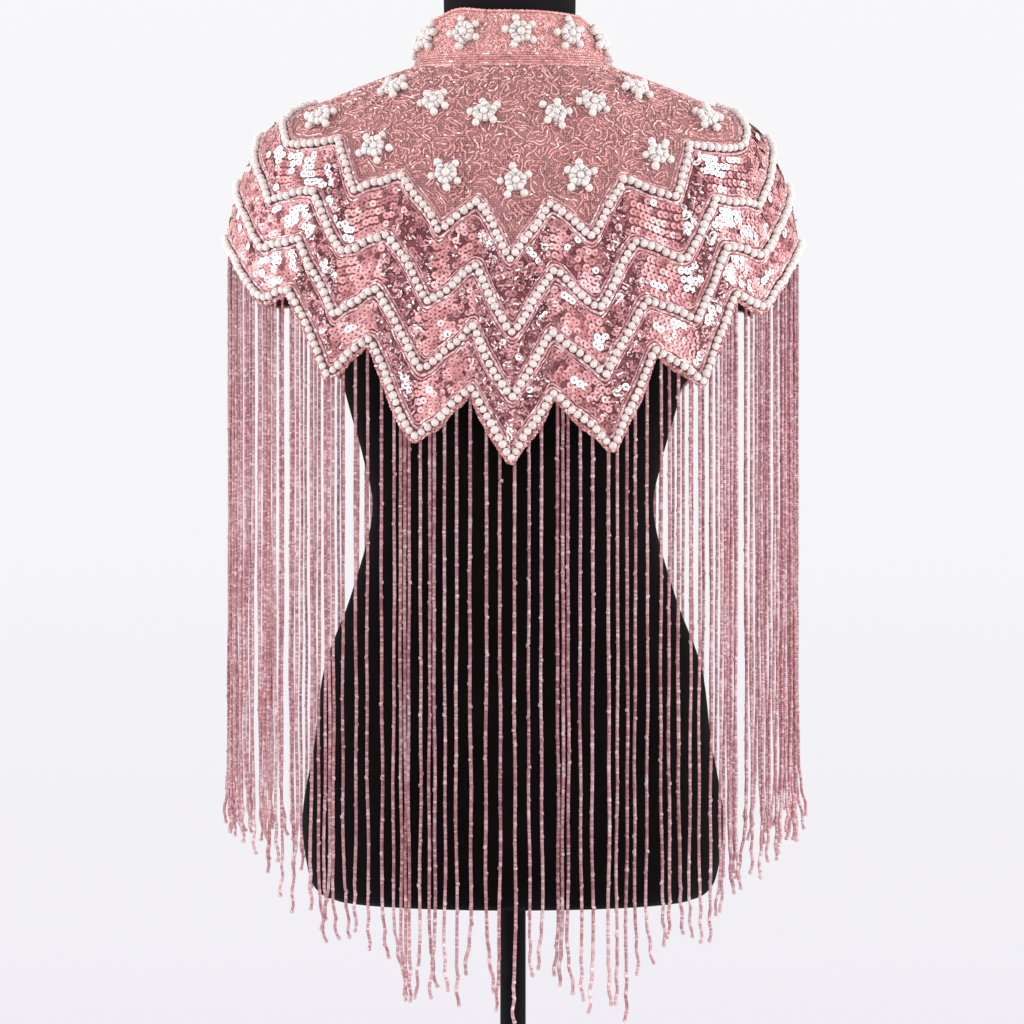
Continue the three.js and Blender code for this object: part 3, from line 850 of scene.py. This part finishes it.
def laid_tube(place, turn, ring, radius, lift, sides=8):
    """A tube on a surface, with its tones."""
    wave = radius * (1 + rng.normal(0, 0.05, len(turn)))
    made = tube(raised(place, turn, ring, lift), wave, steps(place, turn, ring)[2], sides)
    tones = np.concatenate([[CORD_TONE], rng.normal(CORD_TONE, 0.12, len(turn)), [CORD_TONE]])
    return *made, np.repeat(tones, sides)


line = spaced(on_cape, *beside(HEM_ROW, 4.2, 1.0), 2.4 * MM)
lines = [laid_tube(on_cape, *line, 1.5 * MM, 0.2 * MM, 6)]
piping = joined("hem_piping_cord", lines, CORD, "beaded_cord", ["hem_piping"])
lines = []
for distance, lift in ((3.4, 1.4), (4.7, 1.6), (5.7, 0.7)):
    line = spaced(on_cape, *beside(HEM_ROW, distance, 1.0), 1.55 * MM, 0.2)
    turn, ring = strayed(line, 0.15 * MM)
    origins = raised(on_cape, turn, ring, rng.normal(lift, 0.1, len(turn)) * MM)
    sizes = rng.uniform(1.8, 2.4, (len(turn), 1)) * MM
    tones = bead_tones(len(turn), 0.38, 0.1, 0.2)
    lines.append(copies(SEED, origins, surface_axes(on_cape, turn, ring), sizes, tones))
piping_seeds = joined("hem_piping_seeds", lines, CORD, "beaded_cord")


# ---- squiggles of beads ----
LONGEST_CHAIN = 26  # points
SHARP, FLIPS = 0.25, 0.4  # shares of steps that bend sharply, and that change the side of bends
TRIES = np.array([1, 0.3, -0.8, -1.6])  # a step's bend and, where it is taken, the next ones


def wander(place, ring_range, is_inside, step, clear, seeds, rounds):
    """Chains of turns and rings that wander over a surface and never come nearer than clear."""
    taken, chains = {}, []  # taken: point, chain and rank of all points, by cells as wide as clear

    def take(chain, p, turn, ring):
        """Adds a point to its chain if it is free. It may come near the chain's last ones."""
        rank = len(chains[chain])
        home = tuple(np.floor(p / clear).astype(int))
        for cell in itertools.product(*((v - 1, v, v + 1) for v in home)):
            for q, other, q_rank in taken.get(cell, ()):
                behind = rank - q_rank if other == chain else LONGEST_CHAIN
                limit = clear if behind > 3 else 0.5 * step
                near = (p[0] - q[0]) ** 2 + (p[1] - q[1]) ** 2 + (p[2] - q[2]) ** 2
                if behind > 1 and near < limit * limit:
                    return False
        taken.setdefault(home, []).append((p, chain, rank))
        chains[chain].append((turn, ring))
        return True

    for _ in range(rounds):
        turn = rng.uniform(-178, 178, seeds)
        ring = rng.uniform(*ring_range, seeds)
        active = []
        for t, r, p, ok in zip(turn, ring, place(turn, ring), is_inside(turn, ring)):
            chains.append([])
            if ok and take(len(chains) - 1, p, t, r):
                heading, side = rng.uniform(0, 2 * np.pi), rng.choice([-1, 1])
                active.append([len(chains) - 1, t, r, heading, side])
            else:
                chains.pop()
        longest = rng.integers(5, 20, len(chains) + 1)
        for _ in range(LONGEST_CHAIN):
            if not active:
                break
            turn, ring, heads, sides = np.array([walker[1:] for walker in active]).T
            count = len(active)
            sharp = rng.random(count) < SHARP
            bends = np.where(sharp, rng.uniform(0.8, 1.4, count), rng.uniform(0.05, 0.55, count))
            angle = (heads[:, None] + (bends * sides)[:, None] * TRIES).reshape(-1, 1)
            turn, ring = np.repeat(turn, len(TRIES)), np.repeat(ring, len(TRIES))
            across, down = laid_axes(place, turn, ring)
            way = across * np.cos(angle) + down * np.sin(angle)
            turn, ring = moved(place, turn, ring, step * way)
            points = place(turn, ring)
            inside = is_inside(turn, ring)
            still = []
            for k, (chain, *_, side) in enumerate(active):
                if len(chains[chain]) > longest[chain]:
                    continue
                for m in range(len(TRIES) * k, len(TRIES) * (k + 1)):
                    if inside[m] and take(chain, points[m], turn[m], ring[m]):
                        side = -side if rng.random() < FLIPS else side
                        still.append([chain, turn[m], ring[m], angle[m, 0], side])
                        break
            active = still
    return [np.array(chain).T for chain in chains if len(chain) > 2]


yoke_limit = np.array(aside(*CORNERS[YOKE_ROW], -9.0 * MM))
yoke_limit = yoke_limit[:, np.argsort(yoke_limit[0])]


def in_yoke(turn, ring):
    return (ring > 0.04) & (ring < np.interp(turn, *yoke_limit)) & (np.abs(turn) < 180 - FRONT_GAP - 1)


def in_collar(turn, ring):
    return (ring > 0.14) & (ring < 1.58) & (np.abs(turn) < 180 - FRONT_GAP)


def squiggles(section, place, chains, width, plain, glints, slot):
    lines = []
    for chain in chains:
        tones = bead_tones(chain.shape[1] - 1, plain + rng.normal(0, 0.07), glints)
        height = 1.1 * MM * rng.uniform(0.8, 1.4)
        lines.append(bead_line(place, *chain, width * MM, height, tones, 0.98))
    return joined(f"squiggles_{section}", lines, SQUIGGLE, slot)


chains = wander(on_cape, (0.05, 4.8), in_yoke, 2.3 * MM, 1.75 * MM, 2600, 10)
for section, chosen in in_sections(np.array([chain[0, 0] for chain in chains])).items():
    some = [chains[k] for k in np.flatnonzero(chosen)]
    squiggles(section, on_cape, some, 1.1, 0.53, 0.04, "yoke_beadwork")
chains = wander(on_collar, (0.15, 1.56), in_collar, 1.8 * MM, 1.15 * MM, 2200, 9)
collar_squiggles = squiggles("collar", on_collar, chains, 1.15, 0.58, 0.015, "collar_beadwork")


# ---- collar cords ----
POINTS = 400
bumps = 1.15 * MM * (1 + 0.22 * np.sin(np.arange(POINTS) * 1.5))  # a stitch every 4 mm or so
line = np.linspace(-179, 179, POINTS), np.full(POINTS, 0.03)
whipped = laid_tube(on_collar, *line, bumps, 0.4 * MM)
top_cord = joined("collar_edge_cord", [whipped], CORD, "beaded_cord", ["collar_top_cord"])
# Lines of the band: surface, ring, step and unevenness, width and height in mm, look.
BAND = [
    (on_collar, 1.64, 3.6, 0.1, 1.3, 1.6, (0.47, 0.10)),
    (on_collar, 1.72, 3.6, 0.1, 1.9, 1.6, (0.41, 0.01)),
    (on_collar, 1.81, 3.6, 0.1, 1.9, 1.6, (0.32, 0.01)),
    (on_collar, 1.9, 3.6, 0.1, 1.9, 1.6, (0.41, 0.02)),
    (on_collar, 1.97, 3.6, 0.1, 1.2, 1.6, (0.45, 0.14)),
    (on_cape, 0.035, 3.0, 0.15, 1.6, 1.9, (0.42, 0.03)),
]
lines = []
for place, ring, step, uneven, width, height, look in BAND:
    line = np.array([-179.0, 0, 179.0]), np.full(3, ring)
    line = spaced(place, *line, step * MM, uneven, gap=0.5)
    lines.append(toned_line(place, line, width, height, look))
seam_band = joined("collar_seam_lines", lines, SQUIGGLE, "beaded_cord", ["collar_seam_band"])


# ---- sequins ----
PAILLETTE = paillette()
REACH = 2 * np.hypot(*PAILLETTE[0][:, :2].T)  # of each point from the middle, 1 at the rim
PAINTED_GLINT_SHINE = 1.35  # shine from which a sequin is painted white, as a painted glint


def drift(p, size, phase):
    """A smooth value of about -1 to 1 that changes over a size."""
    x, y, z = (p / size).T
    wave = np.sin(x * 2.1 + z * 1.3 + phase) + np.sin(y * 1.7 - z * 2.3 + 2 * phase)
    return (wave + np.sin(x * 3.7 - y * 2.9 + z * 0.8 + 3 * phase)) / 2


def filled(inset, count, step, uneven, shape=lambda *line: line):
    """Turns, rings, points, directions and line numbers along count lines in every band."""
    found = []
    for corners, next_corners in zip(CORNERS, CORNERS[1:]):
        above, below = aside(*corners, inset), aside(*next_corners, -inset)
        for k, share in enumerate(np.linspace(0, 1, count)):
            line = [a + (b - a) * share for a, b in zip(above, below)]
            turn, ring = spaced(on_cape, *shape(*line), step, uneven)
            p = on_cape(turn, ring)
            found.append((turn, ring, p, unit(np.gradient(p, axis=0)), np.full(len(turn), k)))
    return [np.concatenate(values) for values in zip(*found)]


def calmness(turn):
    """1 at the shoulders, where the sequins lie flat and alike, and 0 in front and behind."""
    return rise(np.abs(turn), 52, 14) * rise(-np.abs(turn), -128, 14)


def steepness(along):
    """1 along the steep edges of the zigzag, 0 along the flat ones."""
    return rise(np.abs(along[:, 2]), 0.62, 0.2)


turn, ring, p, along, strip = filled(9.2 * MM, 5, 4.5 * MM, 0.13, rounded)
calm = calmness(turn)
steep = steepness(along) * (1 - 0.6 * calm)
kept = rng.random(len(turn)) > (0.25 + 0.55 * (strip % 2)) * steep
turn, ring, p, along, steep, calm = (v[kept] for v in (turn, ring, p, along, steep, calm))
count = len(turn)
axes = surface_axes(on_cape, turn, ring, along)
messy = 0.07 + 0.42 * steep
tip = -0.16 + 0.12 * calm + rng.normal(0, 1, count) * messy + 0.05 * drift(p, 18 * MM, 1.0)
axes = tipped(axes, 1, tip)
axes = tipped(axes, 0, rng.normal(0, 1, count) * messy + 0.06 * drift(p, 22 * MM, 2.0))
sides = np.exp(-(((np.abs(turn) - 49) / 17) ** 2))  # where the softboxes flash on the sequins; there glints are painted white and the tone is painted a little darker
runs = np.convolve(rng.normal(0, 1, count), np.ones(3), "same")  # alike in short runs of a row
# Painted highlights: sequins whose shine passes the mark are painted white as glints, and lifted.
shine = (0.38 - 0.13 * sides) * runs + (0.65 + 0.45 * sides) * drift(p, 12 * MM, 0.6)
is_painted_glint = shine + 1.1 * sides + 0.2 * steep > PAINTED_GLINT_SHINE
tone = rng.normal(0.55, 0.09, count) + 0.12 * drift(p, 14 * MM, 4.0) - 0.01 * sides
tone = np.clip(tone, 0.25, 0.82)
# Painted reflection: sequins on the steep edges and in patches are painted dark wine, as if mirroring
# the dark room.
dark_reflection_patch = np.clip(drift(p, 13 * MM, 5.0) - 0.4, 0, 1)
is_dark_reflection = rng.random(count) < 0.06 + 0.5 * steep + 0.4 * dark_reflection_patch
tone[is_dark_reflection] = rng.uniform(0.13, 0.5, is_dark_reflection.sum())
tone[is_painted_glint] = 1.0
loose = 0.8 * is_painted_glint + steep * rng.uniform(-0.2, 0.9, count)
lift = 1.1 - 0.3 * calm + rng.normal(0, 0.08, count) + loose
origins = p + axes[:, 2] * lift[:, None] * MM
sizes = rng.uniform(5.9, 6.3, (count, 1)) * MM
# How dark each sequin's painted rim shade is, by the reach given to its rim: darkest on the steep
# edges, faintest on the white ones.
rim = np.where(is_painted_glint, 0.86, np.where(steep > 0.3, 0.95, 0.9))
for section, chosen in in_sections(turn).items():
    some = copies(PAILLETTE, origins[chosen], axes[chosen], sizes[chosen], tone[chosen])
    reach = np.where(REACH > 0.5, rim[chosen][:, None], REACH).ravel()
    joined(
        f"sequins_{section}", [(*some, reach)], SEQUIN, "sequined_cloth", keys=("tone", "reach")
    )

# Wine-coloured seed beads and a few bugles between the sequins, most on the steep edges.
turn, ring, p, along, _ = filled(8.0 * MM, 9, 2.3 * MM, 0.3)
steep = steepness(along)
kept = rng.random(len(turn)) < (0.10 + 0.55 * steep) * (1 - 0.85 * calmness(turn))
p, steep = p[kept], steep[kept]
count = len(p)
axes = surface_axes(on_cape, turn[kept], ring[kept])
origins = p + axes[:, 2] * rng.uniform(0.8, 2.6, count)[:, None] * MM
origins += axes[:, 1] * rng.normal(0, 0.8 * MM, (count, 1))
sizes = rng.uniform(1.7, 2.3, (count, 1)) * MM
beads = copies(SEED, origins, axes, sizes, bead_tones(count, 0.46, 0.15, 0.18))
chosen = rng.random(count) < 0.36 * steep
count = chosen.sum()
axes = tipped(axes[chosen], 2, rng.uniform(0, np.pi, count))
scale = [rng.uniform(*span, count) for span in ((1.8, 4.2), (1.1, 1.8), (1.2, 1.6))]
origins = p[chosen] + axes[:, 2] * rng.uniform(0.9, 2.4, count)[:, None] * MM
tones = bead_tones(count, 0.45, 0.14, 0.22)
bugles = copies(BUGLE, origins, axes, np.column_stack(scale) * MM, tones)
strewn_bugles = joined("strewn_bugles", [bugles], EDGING, "sequined_cloth")
seeds = joined("wine_seed_beads", [beads], WINE_BEADS, "sequined_cloth")


# ---- fringe ----
STRAND_SIDES = 5
BEAD_RINGS = np.array([-1.2, -0.7, 0.7, 1.2]) * MM  # of a wide bead, from its middle
ON_BEAD = np.array([0, 1, 1, 0])  # which of them are on the bead
TAIL = 45 * MM  # the kinked end of a strand


def strand(top, length, lean):
    """Points, faces, tones and lengths along of a strand hanging from a point, and its end."""
    wide = np.cumsum(rng.uniform(8, 27, 60) * MM)
    wide = wide[wide < length - 8 * MM]
    straight = np.arange(0, length - TAIL - MM, 9 * MM)
    plain = np.append(straight, np.arange(length - TAIL, length, 4.5 * MM))
    plain = plain[[np.abs(wide - s).min() > 2 * MM for s in plain]]
    count = len(wide)
    swell = rng.uniform(1.05, 1.22, count) - 1
    # Painted highlights: the wide beads, and the strand's last ring, are painted lighter as glints.
    light = rng.uniform(0.05, 0.6, count) ** 1.6
    shift = rng.normal(0, 0.3 * MM, count)
    on_beads = [(v[:, None] * ON_BEAD).ravel() for v in (swell, light, shift)]
    rings = np.hstack([
        [plain, *np.zeros((3, len(plain)))],
        [(wide[:, None] + BEAD_RINGS).ravel(), *on_beads],
        [[length], [-0.1], [0.3], [0.0]],
    ])
    s, swell, light, shift = rings[:, np.argsort(rings[0])]
    tail = rise(s - length, -TAIL, TAIL)
    phase = rng.uniform(0, 2 * np.pi, 5)
    sway = 0.9 * MM * (s / length)[:, None] * np.stack([
        np.sin(s / (61 * MM) + phase[0]) + 0.5 * np.sin(s / (17 * MM) + phase[1]),
        np.sin(s / (57 * MM) + phase[2]) + 0.5 * np.sin(s / (19 * MM) + phase[3]),
    ], 1)
    kink = 1.1 * MM * (tail * np.sin(s / (3.3 * MM) + phase[1]))
    aside_by = sway + ((tail**1.4)[:, None] * lean + kink[:, None])
    centre = top + np.column_stack([aside_by, -s])
    centre[:, 0] += shift
    at_side = rise(abs(top[0]), 0, 230 * MM) ** 2
    radii = (1.42 - 0.2 * at_side) * MM * rng.uniform(0.92, 1.08) * (1 + swell)
    radii = radii * (1 + rng.normal(0, 0.03, len(s)))
    back = np.tile([0.0, -1.0, 0.0], (len(s), 1))
    # Painted light: strands are painted paler towards their tips and towards the sides, as if lit
    # through from the pale backdrop behind them.
    painted_light = 0.1 * rise(s - length, -80 * MM, 40 * MM)
    tones = 0.23 + 0.04 * at_side + painted_light + light + rng.normal(0, 0.06)
    tones = tones + 0.08 * np.sin(s / (23 * MM) + phase[4])
    values = (np.repeat(with_ends(v), STRAND_SIDES) for v in (tones, s + rng.uniform(0, 9)))
    return *tube(centre, radii, back, STRAND_SIDES), *values, centre[-1]


END_BEAD = ball(8, 4)
STRAND_STEP = 9.2 * MM  # between strands, round the hem's ground plan, at the centre back
FRONT_ENDS = (0.313, 0.338)  # metres: height of the lowest strands' ends in front
FRINGES = {  # first and last turn, and the curtains of the solids that the strands replace
    "front_left": (-180, -90, "front_left", range(1, 5)),
    "back_left": (-90, 0, "back", range(1, 4)),
    "back_right": (0, 90, "back", range(4, 8)),
    "front_right": (90, 180, "front_right", range(1, 5)),
}
line = beside(HEM_ROW, 3.6, 1.0)
p = on_cape(*line)
density = np.interp(np.abs(line[0][1:]), [0, 6, 14, 180], [0.8, 0.8, 1.02, 1.02])
round_hem = np.cumsum(np.append(0, np.hypot(*np.diff(p[:, :2], axis=0).T) * density))
whole = round_hem[-1]
count = round(whole / STRAND_STEP / 2) * 2 + 1  # odd, so that one hangs at the centre back
even = (np.arange(count) + 0.5) / count * whole
loose = np.clip(np.abs(even - whole / 2) / (50 * MM), 0.15, 1)  # most even at the centre back
at = even + 0.42 * loose * rng.uniform(-1, 1, count) * whole / count
pairs = at[rng.random(count) < 0.2 * (loose > 0.5)] + rng.uniform(3.2, 4.2) * MM
at = np.concatenate([at, pairs])
turn, ring = np.interp(at, round_hem, line[0]), np.interp(at, round_hem, line[1])
kept = np.abs(turn) < 180 - 0.8
turn, ring = turn[kept], ring[kept]
tops = raised(on_cape, turn, ring, np.full(len(turn), -0.6 * MM))
lengths = all_round(ZIGZAG[:, -1]) * MM
share = np.interp(turn, line[0], np.linspace(0, 1, len(line[0])))
length = np.interp(share, np.linspace(0, 1, len(lengths)), lengths)
length += rng.normal(0, 9 * MM, len(turn))
front_ends = np.where(np.abs(turn) > 120, rng.uniform(*FRONT_ENDS, len(turn)), 0)
length = np.minimum(length, tops[:, 2] - front_ends)
for quarter, (start, end, side, numbers) in FRINGES.items():
    chosen = (turn >= start) & (turn < end)
    made = [strand(*where, rng.normal(0, 3.4 * MM, 2)) for where in zip(tops[chosen], length[chosen])]
    tips = np.array([m[4] for m in made])
    upright = np.tile(np.eye(3), (len(tips), 1, 1))
    looks = np.full(len(tips), 0.5), np.full(len(tips), 0.4 * MM)
    made.append(copies(END_BEAD, tips, upright, np.array([3.5, 3.5, 3.2]) * MM, *looks))
    nodes = [f"fringe_{side}_{k}" for k in numbers]
    joined(
        f"fringe_{quarter}", made, STRAND, "fringe_beads", nodes, ("tone", "along")
    )


# ---- floor, light and camera ----
FLOOR_SIDES = 64
cos, sin = circle(FLOOR_SIDES)
mesh = bpy.data.meshes.new("floor")
mesh.from_pydata(np.stack([cos, sin, 0 * cos], 1) * 1.5, [], [range(FLOOR_SIDES)])
FLOOR = Material("pale_floor", Roughness=0.7)
FLOOR.paint(FLOOR.noise(3, 3), [(0.3, 0.80, 0.79, 0.82), (0.7, 0.84, 0.83, 0.86)])
mesh.materials.append(FLOOR.material)
shown("floor", mesh)


def lamp(name, place, size, power):
    """An area light that faces the middle of the cape."""
    data = bpy.data.lights.new(name, "AREA")
    data.shape = "RECTANGLE"
    data.size, data.size_y = size
    data.energy = power
    made = shown(name, data)
    made.location = place
    aim = Vector((0, 0, 0.75)) - Vector(place)
    made.rotation_euler = aim.to_track_quat("-Z", "Y").to_euler()


lamp("key", (0, -3.2, 1.1), (2.6, 2.0), 66)
lamp("left_softbox", (-2.4, -0.5, 1.1), (1.0, 1.8), 57)
lamp("right_softbox", (2.4, -0.5, 1.1), (1.0, 1.8), 64)

world = bpy.data.worlds.new("studio")
bpy.context.scene.world = world
world.use_nodes = True
tree = world.node_tree
direction = tree.nodes.new("ShaderNodeTexCoord").outputs["Generated"]
height = add_node(tree, "ShaderNodeSeparateXYZ", Vector=direction).outputs["Z"]
share = add_node(tree, "ShaderNodeMapRange", Value=height, From_Min=-0.15, From_Max=0.15)
stops = [(0.0, 0.868, 0.853, 0.903), (0.5, 0.922, 0.913, 0.939), (1.0, 0.939, 0.931, 0.947)]
sky = ramp(share.outputs["Result"], stops)
tree.links.new(sky, tree.nodes["Background"].inputs["Color"])

lens = bpy.data.cameras.new("camera")
lens.lens = 128.6
lens.sensor_width = 36
camera = shown("camera", lens)
camera.location = (-0.0008, -3.0, 0.647)
camera.rotation_euler = (np.pi / 2, 0, 0)
bpy.context.scene.camera = camera
bpy.context.scene.view_settings.view_transform = "Standard"
